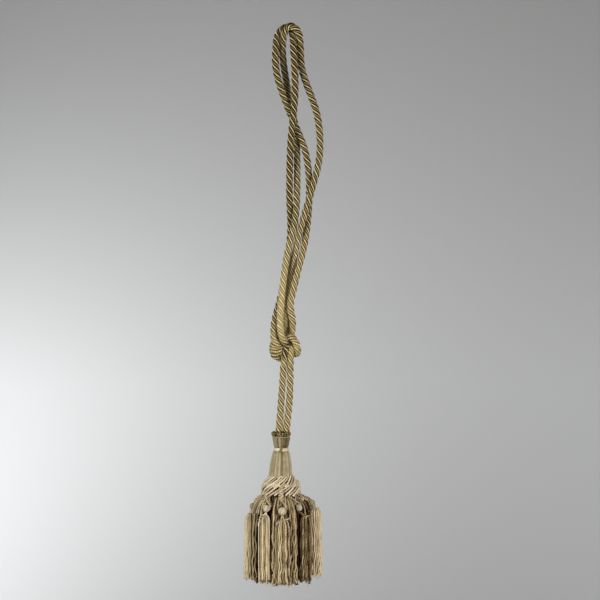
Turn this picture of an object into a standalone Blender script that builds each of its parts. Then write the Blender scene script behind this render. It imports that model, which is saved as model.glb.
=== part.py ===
"""A curtain tieback tassel, hanging from a hook by the two loops of its rope.

Metres, +Z up. The front faces -Y and the wall would be at +Y. The origin is where the hook bears, under the
crown of both loops.
"""

import math

import bmesh
import bpy
import numpy as np
from mathutils import Vector

# Driving dimensions.
ROPE_DIAMETER = 0.0082
TAUT_SHARE = 0.88  # of that diameter, in the knot and below it, where the rope carries the tassel
SLACK_ABOVE = -0.3470  # the top of the knot, from where the rope has its full diameter
TAUT_BELOW = -0.3690
GAP = 0.0003  # between pieces that touch
TASSEL_X = -0.0106  # the tassel's axis, a little to the left of the hook
CAP_TOP = -0.4772  # height of the rim's top, where the rope goes in
RIM_HEIGHT = 0.0052
RIM_RADIUS = 0.0112
CAP_HEIGHT = 0.0129
CAP_TOP_RADIUS = 0.0112
CAP_FOOT_RADIUS = 0.0082
BAND_HEIGHT = 0.0038
BAND_RADIUS = 0.0092
BAND_HOLE = 0.0062
NECK_HEIGHT = 0.0290
NECK_TOP_RADIUS = 0.0094
NECK_FOOT_RADIUS = 0.0144
RUFF_HEIGHT = 0.0217
RUFF_RADIUS = 0.0236
RUFF_HOLE = 0.0092
SKIRT_FOOT = -0.6492
HANGER_DIAMETER = 0.0024
HANGER_REACH = 0.0205  # from the axis to where a hanger starts under the ruff
HANGER_WIDTH = 0.0072
HANGER_BULGE = 0.0012  # how far a hanger arches above a straight line
HANGER_POINTS = 12
STEM_RADIUS = 0.0016  # of the cord between a ball and the head of its small tassel

TURN_STEPS = 24
SKIRT_SIDES = 90

CAP_LEVEL = CAP_TOP - RIM_HEIGHT - GAP
BAND_LEVEL = CAP_LEVEL - CAP_HEIGHT - GAP
NECK_LEVEL = BAND_LEVEL - BAND_HEIGHT - GAP
RUFF_LEVEL = NECK_LEVEL - NECK_HEIGHT - GAP
SKIRT_LEVEL = RUFF_LEVEL - RUFF_HEIGHT - GAP

# The rope's route, stretch by stretch: (across, depth, height).
LOWER_RIGHT = [  # up from the cap
    (-0.0045, -0.0015, -0.4769),
    (-0.0005, -0.0015, -0.4370),
]
KNOT_RIGHT = [  # through the knot and out behind its front turn
    (0.0005, -0.0035, -0.3950),
    (0.0010, -0.0030, -0.3830),
    (0.0010, 0.0020, -0.3720),
    (0.0020, 0.0025, -0.3600),
    (0.0030, -0.0015, -0.3460),
]
FIRST_LOOP_UP = [
    (0.0005, -0.0045, -0.3280),
    (0.0055, -0.0050, -0.3020),
    (0.0185, 0.0010, -0.2470),
    (0.0230, 0.0045, -0.1880),
    (0.0185, 0.0015, -0.1450),
    (-0.0020, 0.0020, -0.0930),
    (-0.0160, -0.0050, -0.0500),
]
FIRST_CROWN = [
    (-0.0165, -0.0035, -0.0190),
    (-0.0140, 0.0035, -0.0040),
    (-0.0065, 0.0055, 0.0045),
    (0.0010, 0.0050, 0.0015),
]
FIRST_LOOP_DOWN = [
    (0.0045, -0.0050, -0.0270),
    (0.0060, -0.0055, -0.0750),
    (0.0005, -0.0050, -0.1400),
    (-0.0005, 0.0000, -0.2000),
    (0.0005, 0.0085, -0.2400),
    (-0.0100, 0.0085, -0.3120),
]
KNOT_WRAP = [  # three turns at the left, one at the right, then up the back
    (-0.0175, 0.0000, -0.3430),
    (-0.0190, -0.0050, -0.3560),
    (-0.0185, -0.0075, -0.3660),
    (-0.0150, -0.0070, -0.3725),
    (-0.0105, -0.0010, -0.3760),
    (-0.0055, 0.0050, -0.3775),
    (-0.0005, 0.0075, -0.3800),
    (0.0035, 0.0070, -0.3830),
    (0.0075, 0.0035, -0.3850),
    (0.0090, -0.0015, -0.3815),
    (0.0080, -0.0045, -0.3740),
    (0.0045, -0.0065, -0.3675),
    (-0.0010, -0.0060, -0.3645),
    (-0.0065, -0.0030, -0.3640),
    (-0.0120, 0.0000, -0.3655),
    (-0.0165, 0.0015, -0.3685),
    (-0.0195, 0.0005, -0.3725),
    (-0.0200, -0.0025, -0.3770),
    (-0.0175, -0.0050, -0.3805),
    (-0.0130, -0.0035, -0.3825),
    (-0.0095, 0.0025, -0.3830),
    (-0.0060, 0.0090, -0.3825),
    (-0.0025, 0.0140, -0.3810),
    (0.0000, 0.0160, -0.3775),
    (0.0000, 0.0155, -0.3730),
    (-0.0040, 0.0140, -0.3695),
    (-0.0100, 0.0125, -0.3685),
    (-0.0160, 0.0105, -0.3720),
    (-0.0200, 0.0075, -0.3775),
    (-0.0200, 0.0035, -0.3840),
    (-0.0165, 0.0005, -0.3885),
    (-0.0115, 0.0020, -0.3900),
    (-0.0070, 0.0085, -0.3895),
    (-0.0030, 0.0155, -0.3885),
    (0.0000, 0.0215, -0.3845),
    (0.0010, 0.0240, -0.3770),
    (-0.0005, 0.0215, -0.3680),
    (-0.0030, 0.0130, -0.3605),
    (-0.0045, 0.0050, -0.3510),
]
SECOND_LOOP_UP = [
    (-0.0050, 0.0015, -0.3330),
    (0.0025, 0.0030, -0.2840),
    (0.0130, -0.0045, -0.2350),
    (0.0250, -0.0045, -0.1930),
    (0.0350, 0.0000, -0.1500),
    (0.0330, 0.0000, -0.1040),
    (0.0140, 0.0040, -0.0440),
]
SECOND_CROWN = [
    (0.0120, 0.0025, -0.0150),
    (0.0100, -0.0025, -0.0035),
    (0.0040, -0.0055, 0.0030),
    (-0.0030, -0.0050, 0.0030),
    (-0.0070, -0.0030, -0.0045),
]
SECOND_LOOP_DOWN = [
    (-0.0090, 0.0045, -0.0250),
    (-0.0040, 0.0085, -0.0620),
    (0.0060, 0.0110, -0.1120),
    (0.0085, 0.0035, -0.1700),
    (0.0060, -0.0030, -0.2260),
    (-0.0035, -0.0045, -0.2690),
    (-0.0100, -0.0050, -0.3200),
]
KNOT_TUCK = [  # slants into the middle of the knot, turns under and comes out below
    (-0.0115, -0.0075, -0.3470),
    (-0.0105, -0.0120, -0.3590),
    (-0.0085, -0.0130, -0.3660),
    (-0.0055, -0.0105, -0.3705),
    (-0.0045, -0.0050, -0.3735),
    (-0.0045, -0.0025, -0.3790),
    (-0.0065, -0.0040, -0.3870),
    (-0.0075, -0.0035, -0.3970),
]
LOWER_LEFT = [  # down to the cap
    (-0.0090, -0.0020, -0.4220),
    (-0.0130, -0.0015, -0.4769),
]
ROUTE = (
    LOWER_RIGHT
    + KNOT_RIGHT
    + FIRST_LOOP_UP
    + FIRST_CROWN
    + FIRST_LOOP_DOWN
    + KNOT_WRAP
    + SECOND_LOOP_UP
    + SECOND_CROWN
    + SECOND_LOOP_DOWN
    + KNOT_TUCK
    + LOWER_LEFT
)
ROPE_STEP = 3.0 * ROPE_DIAMETER  # longest straight side of the tube
ROPE_TURN = math.radians(34)  # most that the tube turns between two points

# The small tassels in order round the skirt. Angles are in degrees from the front, towards +X. The reaches are the
# distances of the fringe and of the ball from the tassel's axis.
TASSEL_COLUMNS = ("angle", "reach", "girth", "ball_reach", "ball_radius", "ball", "head", "foot")
SMALL_TASSEL_ROWS = [
    (3.5, 0.0370, 0.0090, 0.0362, 0.0050, -0.5652, -0.5746, -0.6500),
    (49, 0.0374, 0.0081, 0.0276, 0.0042, -0.5644, -0.5728, -0.6494),
    (84, 0.0404, 0.0081, 0.0368, 0.0038, -0.5614, -0.5682, -0.6480),
    (122, 0.0388, 0.0081, 0.0368, 0.0044, -0.5626, -0.5720, -0.6498),
    (160, 0.0368, 0.0081, 0.0346, 0.0046, -0.5634, -0.5734, -0.6486),
    (200, 0.0362, 0.0081, 0.0346, 0.0044, -0.5620, -0.5722, -0.6502),
    (240, 0.0358, 0.0081, 0.0334, 0.0042, -0.5632, -0.5728, -0.6490),
    (280, 0.0356, 0.0081, 0.0340, 0.0038, -0.5650, -0.5738, -0.6490),
    (330, 0.0362, 0.0072, 0.0340, 0.0043, -0.5630, -0.5720, -0.6504),
]
SMALL_TASSELS = [dict(zip(TASSEL_COLUMNS, row)) for row in SMALL_TASSEL_ROWS]
# Profiles as (radius, height), from the top down.
VALLEY_PROFILE = [  # the skirt behind each small tassel
    (0.0150, SKIRT_LEVEL),
    (0.0176, -0.5560),
    (0.0218, -0.5630),
    (0.0252, -0.5720),
    (0.0266, -0.5850),
    (0.0268, -0.6150),
    (0.0268, -0.6480),
]
BUNDLE_PROFILE = [  # the skirt's bundles between them
    (0.0150, SKIRT_LEVEL),
    (0.0250, -0.5537),
    (0.0325, -0.5595),
    (0.0370, -0.5700),
    (0.0388, -0.5850),
    (0.0394, -0.6150),
    (0.0398, SKIRT_FOOT),
]
BUNDLE_START = 11  # degrees from a small tassel's middle at which the bundle begins
BUNDLE_FULL = 17
SMALL_TASSEL_PROFILE = [  # share of the girth, share of the height from head to foot
    (0.58, 0.02),
    (0.76, 0.08),
    (0.82, 0.22),
    (0.90, 0.50),
    (1.00, 0.85),
    (0.97, 1.00),
]
FLUTES = 8
FLUTE_DEPTH = 0.93  # radius between the flutes as a share of the radius on them


def clear_scene():
    for obj in list(bpy.data.objects):
        bpy.data.objects.remove(obj, do_unlink=True)


def material(name, colour, roughness):
    made = bpy.data.materials.new(name)
    made.use_nodes = True
    shader = made.node_tree.nodes["Principled BSDF"]
    shader.inputs["Base Color"].default_value = (*colour, 1.0)
    shader.inputs["Roughness"].default_value = roughness
    shader.inputs["Metallic"].default_value = 0.0
    return made


def placed(name, data, location, surface):
    obj = bpy.data.objects.new(name, data)
    obj.location = location
    data.materials.append(surface)
    bpy.context.scene.collection.objects.link(obj)
    return obj


def turned(name, profile, location, surface):
    """A piece turned about its own Z axis. The profile is (radius, height) from the top, down the outer side."""
    mesh = bpy.data.meshes.new(name)
    closed = profile[0][0] > 0
    corners = [(radius, 0.0, height) for radius, height in profile]
    edges = [(i, i + 1) for i in range(len(corners) - 1)]
    if closed:
        edges.append((len(corners) - 1, 0))
    mesh.from_pydata(corners, edges, [])
    obj = placed(name, mesh, location, surface)
    screw = obj.modifiers.new("turn", "SCREW")
    screw.steps = TURN_STEPS
    screw.render_steps = TURN_STEPS
    screw.use_merge_vertices = True
    screw.merge_threshold = 0.00001
    screw.use_smooth_shade = True
    return obj


def lofted(name, rings, location, surface):
    """A closed body through rings of equal size, top ring first, each anticlockwise seen from above."""
    shape = bmesh.new()
    loops = [[shape.verts.new(point) for point in ring] for ring in rings]
    sides = len(rings[0])
    for upper, lower in zip(loops, loops[1:]):
        for i in range(sides):
            j = (i + 1) % sides
            shape.faces.new((upper[i], lower[i], lower[j], upper[j]))
    for ring, order in ((loops[0], 1), (loops[-1], -1)):
        middle = shape.verts.new(sum((vert.co for vert in ring), Vector()) / sides)
        for i in range(sides):
            pair = (ring[i], ring[(i + 1) % sides])[::order]
            shape.faces.new((*pair, middle))
    mesh = bpy.data.meshes.new(name)
    shape.to_mesh(mesh)
    shape.free()
    mesh.shade_smooth()
    mesh.set_sharp_from_angle(angle=math.radians(60))
    return placed(name, mesh, location, surface)


def tube(name, points, diameter, resolution, cyclic, surface, width=lambda point: 1.0):
    curve = bpy.data.curves.new(name, "CURVE")
    curve.dimensions = "3D"
    curve.bevel_depth = diameter / 2
    curve.bevel_resolution = resolution
    curve.use_fill_caps = True
    spline = curve.splines.new("POLY")
    spline.points.add(len(points) - 1)
    for target, point in zip(spline.points, points):
        target.co = (*point, 1.0)
        target.radius = width(point)
    spline.use_cyclic_u = cyclic
    spline.use_smooth = True
    return placed(name, curve, (0, 0, 0), surface)


def smooth_curve(route, samples=24):
    """Points along a centripetal Catmull-Rom curve through the route."""
    knots = [Vector(point) for point in route]
    knots = [2 * knots[0] - knots[1], *knots, 2 * knots[-1] - knots[-2]]
    found = []
    for a, b, c, d in zip(knots, knots[1:], knots[2:], knots[3:]):
        t1 = math.sqrt((b - a).length)
        t2 = t1 + math.sqrt((c - b).length)
        t3 = t2 + math.sqrt((d - c).length)
        for t in np.linspace(t1, t2, samples, endpoint=False):
            ab = a.lerp(b, t / t1)
            bc = b.lerp(c, (t - t1) / (t2 - t1))
            cd = c.lerp(d, (t - t2) / (t3 - t2))
            abc = ab.lerp(bc, t / t2)
            bcd = bc.lerp(cd, (t - t1) / (t3 - t1))
            found.append(abc.lerp(bcd, (t - t1) / (t2 - t1)))
    found.append(knots[-2])
    return found


def thinned(points, longest, most_turn):
    """The points at which the path has gone the longest step or turned the most since the last one kept."""
    kept = [points[0]]
    heading = points[1] - points[0]
    for point, after in zip(points[1:], points[2:]):
        ahead = after - point
        if (point - kept[-1]).length >= longest or ahead.angle(heading) >= most_turn:
            kept.append(point)
            heading = ahead
    return [*kept, points[-1]]


def between(profile_a, profile_b, share):
    """The ring heights and radii that lie this share of the way from one profile to the other."""
    return [
        (ra + (rb - ra) * share, ha + (hb - ha) * share)
        for (ra, ha), (rb, hb) in zip(profile_a, profile_b)
    ]


def bundle_share(angle):
    """0 behind a small tassel, 1 in the middle of the bundle beside it."""
    away = min(abs((angle - row["angle"] + 180) % 360 - 180) for row in SMALL_TASSELS)
    share = min(max((away - BUNDLE_START) / (BUNDLE_FULL - BUNDLE_START), 0.0), 1.0)
    return share * share * (3 - 2 * share)


def from_front(angle, radius):
    """X and Y of a point at this angle in degrees from the front, towards +X."""
    turn = math.radians(angle)
    return radius * math.sin(turn), -radius * math.cos(turn)


def rope_width(point):
    """1 above the knot, and less in it and below it."""
    slack = (point.z - TAUT_BELOW) / (SLACK_ABOVE - TAUT_BELOW)
    return TAUT_SHARE + (1 - TAUT_SHARE) * min(max(slack, 0.0), 1.0)


def make_rope(surface):
    points = thinned(smooth_curve(ROUTE), ROPE_STEP, ROPE_TURN)
    tube("rope", points, ROPE_DIAMETER, 3, False, surface, rope_width)


def make_rim(surface):
    half = RIM_HEIGHT / 2
    profile = [(0.0, 0.0), (RIM_RADIUS - half, 0.0)]
    for degrees in (60, 30, 0, -30, -60):
        turn = math.radians(degrees)
        out = RIM_RADIUS - half + half * math.cos(turn)
        profile.append((out, -half + half * math.sin(turn)))
    profile += [(RIM_RADIUS - half, -RIM_HEIGHT), (0.0, -RIM_HEIGHT)]
    turned("cap_rim", profile, (TASSEL_X, 0, CAP_TOP), surface)


def make_cap(surface):
    profile = [
        (0.0, 0.0),
        (CAP_TOP_RADIUS - 0.0010, 0.0),
        (CAP_TOP_RADIUS, -0.0015),
        (CAP_TOP_RADIUS - 0.0002, -0.0040),
        ((CAP_TOP_RADIUS + CAP_FOOT_RADIUS) / 2, -CAP_HEIGHT * 0.72),
        (CAP_FOOT_RADIUS, -CAP_HEIGHT),
        (0.0, -CAP_HEIGHT),
    ]
    turned("cap", profile, (TASSEL_X, 0, CAP_LEVEL), surface)


def make_band(surface):
    half = BAND_HEIGHT / 2
    profile = [(BAND_HOLE, 0.0), (BAND_RADIUS - half, 0.0)]
    for degrees in (50, 0, -50):
        turn = math.radians(degrees)
        out = BAND_RADIUS - half + half * math.cos(turn)
        profile.append((out, -half + half * math.sin(turn)))
    profile += [(BAND_RADIUS - half, -BAND_HEIGHT), (BAND_HOLE, -BAND_HEIGHT)]
    turned("neck_band", profile, (TASSEL_X, 0, BAND_LEVEL), surface)


def make_neck(surface):
    """The bell, with the pins above and below it that the band and the ruff are threaded on."""
    upper_pin = BAND_HOLE - GAP
    lower_pin = RUFF_HOLE - GAP
    shoulder = NECK_LEVEL
    foot = NECK_LEVEL - NECK_HEIGHT
    profile = [
        (0.0, BAND_LEVEL),
        (upper_pin, BAND_LEVEL),
        (upper_pin, shoulder),
        (NECK_TOP_RADIUS, shoulder),
        (NECK_TOP_RADIUS + 0.0022, shoulder - NECK_HEIGHT * 0.16),
        (NECK_FOOT_RADIUS - 0.0012, shoulder - NECK_HEIGHT * 0.50),
        (NECK_FOOT_RADIUS - 0.0002, shoulder - NECK_HEIGHT * 0.85),
        (NECK_FOOT_RADIUS, foot),
        (lower_pin, foot),
        (lower_pin, SKIRT_LEVEL + GAP),
        (0.0, SKIRT_LEVEL + GAP),
    ]
    turned("neck", profile, (TASSEL_X, 0, 0), surface)


def make_ruff(surface):
    profile = [
        (RUFF_HOLE, 0.0),
        (NECK_FOOT_RADIUS + 0.0004, 0.0),
        (RUFF_RADIUS - 0.0058, -RUFF_HEIGHT * 0.22),
        (RUFF_RADIUS - 0.0024, -RUFF_HEIGHT * 0.44),
        (RUFF_RADIUS - 0.0004, -RUFF_HEIGHT * 0.66),
        (RUFF_RADIUS, -RUFF_HEIGHT * 0.84),
        (RUFF_RADIUS - 0.0016, -RUFF_HEIGHT),
        (RUFF_HOLE, -RUFF_HEIGHT),
    ]
    turned("ruff", profile, (TASSEL_X, 0, RUFF_LEVEL), surface)


def make_skirt(surface):
    columns = []
    for i in range(SKIRT_SIDES):
        angle = 360 * i / SKIRT_SIDES
        profile = between(VALLEY_PROFILE, BUNDLE_PROFILE, bundle_share(angle))
        columns.append([(*from_front(angle, radius), height) for radius, height in profile])
    rings = [list(ring) for ring in zip(*columns)]
    lofted("skirt", rings, (TASSEL_X, 0, 0), surface)


def fluted_ring(radius, height, middle=(0.0, 0.0)):
    ring = []
    for i in range(2 * FLUTES):
        turn = math.pi * i / FLUTES
        out = radius if i % 2 else radius * FLUTE_DEPTH
        ring.append((middle[0] + out * math.cos(turn), middle[1] + out * math.sin(turn), height))
    return ring


def make_small_tassel(name, row, surface):
    """Stem, domed head and fringe in one body."""
    x, y = from_front(row["angle"], row["reach"])
    inset = from_front(row["angle"], row["ball_reach"] - row["reach"])
    ball_foot = row["ball"] - row["ball_radius"] - GAP - row["head"]
    rings = [fluted_ring(STEM_RADIUS, ball_foot, inset), fluted_ring(STEM_RADIUS, 0.0)]
    for wide, low in SMALL_TASSEL_PROFILE:
        rings.append(fluted_ring(row["girth"] * wide, low * (row["foot"] - row["head"])))
    lofted(name, rings, (TASSEL_X + x, y, row["head"]), surface)


def ball_centre(row):
    x, y = from_front(row["angle"], row["ball_reach"])
    return Vector((TASSEL_X + x, y, row["ball"]))


def make_ball(name, row, surface):
    shape = bmesh.new()
    bmesh.ops.create_uvsphere(shape, u_segments=10, v_segments=7, radius=row["ball_radius"])
    mesh = bpy.data.meshes.new(name)
    shape.to_mesh(mesh)
    shape.free()
    mesh.shade_smooth()
    placed(name, mesh, ball_centre(row), surface)


def make_hanger(name, row, surface):
    """A closed loop of thin cord, from under the ruff to the top of the ball."""
    out = Vector((*from_front(row["angle"], 1.0), 0))
    side = Vector((-out.y, out.x, 0))
    seat = HANGER_DIAMETER / 2 + GAP
    top = Vector((TASSEL_X, 0, SKIRT_LEVEL + GAP - seat)) + out * HANGER_REACH
    foot = ball_centre(row) + Vector((-0.55 * out.x, -0.55 * out.y, 0.84)) * (row["ball_radius"] + seat)
    points = []
    for i in range(HANGER_POINTS):
        turn = math.tau * i / HANGER_POINTS
        low = (1 - math.cos(turn)) / 2
        bulge = Vector((0, 0, HANGER_BULGE)) * math.sin(math.pi * low)
        points.append(top.lerp(foot, low) + side * HANGER_WIDTH / 2 * math.sin(turn) + bulge)
    tube(name, points, HANGER_DIAMETER, 2, True, surface)


def main():
    clear_scene()
    make_rope(material("rope_yarn", (0.40, 0.31, 0.17), 0.45))
    make_rim(material("rim_cord", (0.34, 0.28, 0.18), 0.55))
    make_cap(material("cap_thread", (0.38, 0.32, 0.20), 0.50))
    make_band(material("band_satin", (0.66, 0.60, 0.43), 0.35))
    make_neck(material("neck_thread", (0.42, 0.37, 0.25), 0.45))
    make_ruff(material("ruff_cord", (0.60, 0.52, 0.37), 0.50))
    make_skirt(material("skirt_yarn", (0.36, 0.28, 0.16), 0.60))
    fringe = material("fringe_yarn", (0.48, 0.39, 0.23), 0.55)
    cream = material("ball_thread", (0.56, 0.49, 0.34), 0.50)
    cord = material("hanger_cord", (0.42, 0.34, 0.20), 0.55)
    for number, row in enumerate(SMALL_TASSELS, start=1):
        make_small_tassel(f"small_tassel_{number}", row, fringe)
        make_ball(f"ball_{number}", row, cream)
        make_hanger(f"hanger_{number}", row, cord)


main()
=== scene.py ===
"""The look of the curtain tieback tassel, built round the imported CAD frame.

Metres, +Z up, and the front faces -Y. Yarns, threads and cords are tubes, gathered into one mesh a piece.
"""

import math

import bpy
import numpy as np
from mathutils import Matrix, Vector
from mathutils.bvhtree import BVHTree


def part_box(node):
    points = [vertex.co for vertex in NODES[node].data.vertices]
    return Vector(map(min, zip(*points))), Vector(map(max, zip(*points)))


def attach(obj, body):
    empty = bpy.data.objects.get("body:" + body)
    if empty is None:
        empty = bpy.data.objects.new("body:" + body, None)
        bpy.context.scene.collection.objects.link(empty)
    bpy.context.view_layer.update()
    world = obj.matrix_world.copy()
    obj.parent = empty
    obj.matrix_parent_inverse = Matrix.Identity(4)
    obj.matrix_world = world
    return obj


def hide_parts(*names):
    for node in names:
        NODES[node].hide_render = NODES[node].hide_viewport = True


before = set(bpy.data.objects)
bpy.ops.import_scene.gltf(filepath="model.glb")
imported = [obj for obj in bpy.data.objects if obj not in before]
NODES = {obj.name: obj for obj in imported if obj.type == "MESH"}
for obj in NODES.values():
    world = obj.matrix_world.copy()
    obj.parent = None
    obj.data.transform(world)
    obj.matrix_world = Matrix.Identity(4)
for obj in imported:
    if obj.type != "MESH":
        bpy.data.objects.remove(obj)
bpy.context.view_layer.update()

RNG = np.random.default_rng(7)
TAU = math.tau
MM = 0.001


# -------------------- camera, light and floor

def add_object(name, data):
    obj = bpy.data.objects.new(name, data)
    bpy.context.scene.collection.objects.link(obj)
    return obj


def look_at(obj, target):
    obj.rotation_euler = (Vector(target) - obj.location).to_track_quat("-Z", "Y").to_euler()


def make_camera():
    data = bpy.data.cameras.new("camera")
    data.lens = 65.0
    data.sensor_width = 36.0
    camera = add_object("camera", data)
    camera.location = (0.0119, -1.289, -0.3207)
    camera.rotation_euler = (math.radians(90), 0.0, 0.0)
    bpy.context.scene.camera = camera


def area_light(name, location, target, size, power, colour, spread=180):
    data = bpy.data.lights.new(name, "AREA")
    data.shape = "DISK"
    data.size = size
    data.energy = power
    data.color = colour
    data.spread = math.radians(spread)
    light = add_object(name, data)
    light.location = location
    look_at(light, target)


def make_lights():
    middle = (-0.01, 0.0, -0.40)
    area_light("key", (-0.72, -0.75, -0.26), middle, 0.5, 8.0, (1.0, 0.99, 0.92))
    area_light("fill", (0.70, -0.82, -0.42), middle, 0.55, 8.2, (1.0, 0.93, 0.90))
    area_light("backdrop_wash", (-1.35, 0.65, -0.95), (-0.50, 1.75, -0.74), 0.8, 10.0, (1.0, 1.0, 1.0), 120)
    area_light("backdrop_wash_right", (1.55, 0.65, -0.95), (0.80, 1.75, -0.75), 0.8, 4.4, (1.0, 1.0, 1.0))
    world = bpy.data.worlds.new("studio")
    world.use_nodes = True
    sky = world.node_tree.nodes["Background"]
    sky.inputs["Color"].default_value = (1.0, 0.97, 0.95, 1.0)
    sky.inputs["Strength"].default_value = 0.17
    bpy.context.scene.world = world
    bpy.context.scene.view_settings.view_transform = "Standard"
    bpy.context.scene.view_settings.look = "None"


def make_floor():
    """A plain floor far below, swept up behind."""
    floor, wall, top, bend, side = -1.25, 1.75, 3.5, 0.7, 5.0
    steps = 12
    profile = [(-side, floor), (wall - bend, floor)]
    for i in range(1, steps + 1):
        turn = math.pi / 2 * i / steps
        profile.append((wall - bend + bend * math.sin(turn), floor + bend * (1 - math.cos(turn))))
    profile.append((wall, top))
    corners = [(x, y, z) for y, z in profile for x in (-side, side)]
    faces = [(2 * i, 2 * i + 1, 2 * i + 3, 2 * i + 2) for i in range(len(profile) - 1)]
    mesh = bpy.data.meshes.new("floor")
    mesh.from_pydata(corners, [], faces)
    mesh.shade_smooth()
    obj = add_object("floor", mesh)
    surface = bpy.data.materials.new("pale_floor")
    surface.use_nodes = True
    shader = surface.node_tree.nodes["Principled BSDF"]
    shader.inputs["Base Color"].default_value = (0.62, 0.635, 0.645, 1.0)
    shader.inputs["Roughness"].default_value = 0.95
    mesh.materials.append(surface)


# -------------------- lines and frames

def catmull_rom(points, samples):
    """A centripetal Catmull-Rom curve through the points."""
    knots = np.asarray(points, float)
    knots = np.vstack([2 * knots[0] - knots[1], knots, 2 * knots[-1] - knots[-2]])
    found = []
    for a, b, c, d in zip(knots, knots[1:], knots[2:], knots[3:]):
        t1 = np.linalg.norm(b - a) ** 0.5
        t2 = t1 + np.linalg.norm(c - b) ** 0.5
        t3 = t2 + np.linalg.norm(d - c) ** 0.5
        t = np.linspace(t1, t2, samples, endpoint=False)[:, None]
        ab = a + (b - a) * t / t1
        bc = b + (c - b) * (t - t1) / (t2 - t1)
        cd = c + (d - c) * (t - t2) / (t3 - t2)
        abc = ab + (bc - ab) * t / t2
        bcd = bc + (cd - bc) * (t - t1) / (t3 - t1)
        found.append(abc + (bcd - abc) * (t - t1) / (t2 - t1))
    return np.vstack([*found, knots[-2:-1]])


def lengths(path):
    return np.concatenate([[0.0], np.cumsum(np.linalg.norm(np.diff(path, axis=0), axis=1))])


def even(path, step):
    """The same line with points about a step apart."""
    run = lengths(path)
    at = np.linspace(0.0, run[-1], max(2, round(run[-1] / step) + 1))
    return np.stack([np.interp(at, run, path[:, k]) for k in range(3)], axis=1)


def smooth(points, samples, step=0.6 * MM):
    """A curve through the points, with its own points about a step apart."""
    return even(catmull_rom(points, samples), step)


def unit(vectors):
    return vectors / np.maximum(np.linalg.norm(vectors, axis=-1, keepdims=True), 1e-12)


def tangents(path):
    return unit(np.gradient(path, axis=0))


def carried_frames(path):
    """The normal and binormal at each point, carried along the line with no twist."""
    along = tangents(path)
    start = np.array([1.0, 0.0, 0.0]) if abs(along[0, 0]) < 0.8 else np.array([0.0, 1.0, 0.0])
    normal = unit(start - along[0] * (start @ along[0]))
    normals = [normal]
    for k in range(1, len(path)):
        normal = unit(normal - along[k] * (normal @ along[k]))
        normals.append(normal)
    normals = np.array(normals)
    return normals, np.cross(along, normals)


def around(path, normals, binormals, radius, turn):
    """Points at this radius from the line, at this turn about it."""
    radius = np.asarray(radius)
    if radius.ndim:
        radius = radius[:, None]
    return path + radius * (normals * np.cos(turn)[:, None] + binormals * np.sin(turn)[:, None])


# -------------------- meshes made of strands

def round_section(sides):
    return np.ones(sides)


def plied_section(sides, plies, depth):
    """A section with a rounded lobe for each ply, and grooves of this depth between them."""
    return 1.0 - depth * (1.0 - np.cos(plies * TAU * np.arange(sides) / sides)) / 2


def fluted_section(sides, plies, depth):
    """As plied_section, but with sharp grooves between full, round plies."""
    return 1.0 - depth * (1.0 - np.abs(np.cos(plies * math.pi * np.arange(sides) / sides)))


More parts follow.
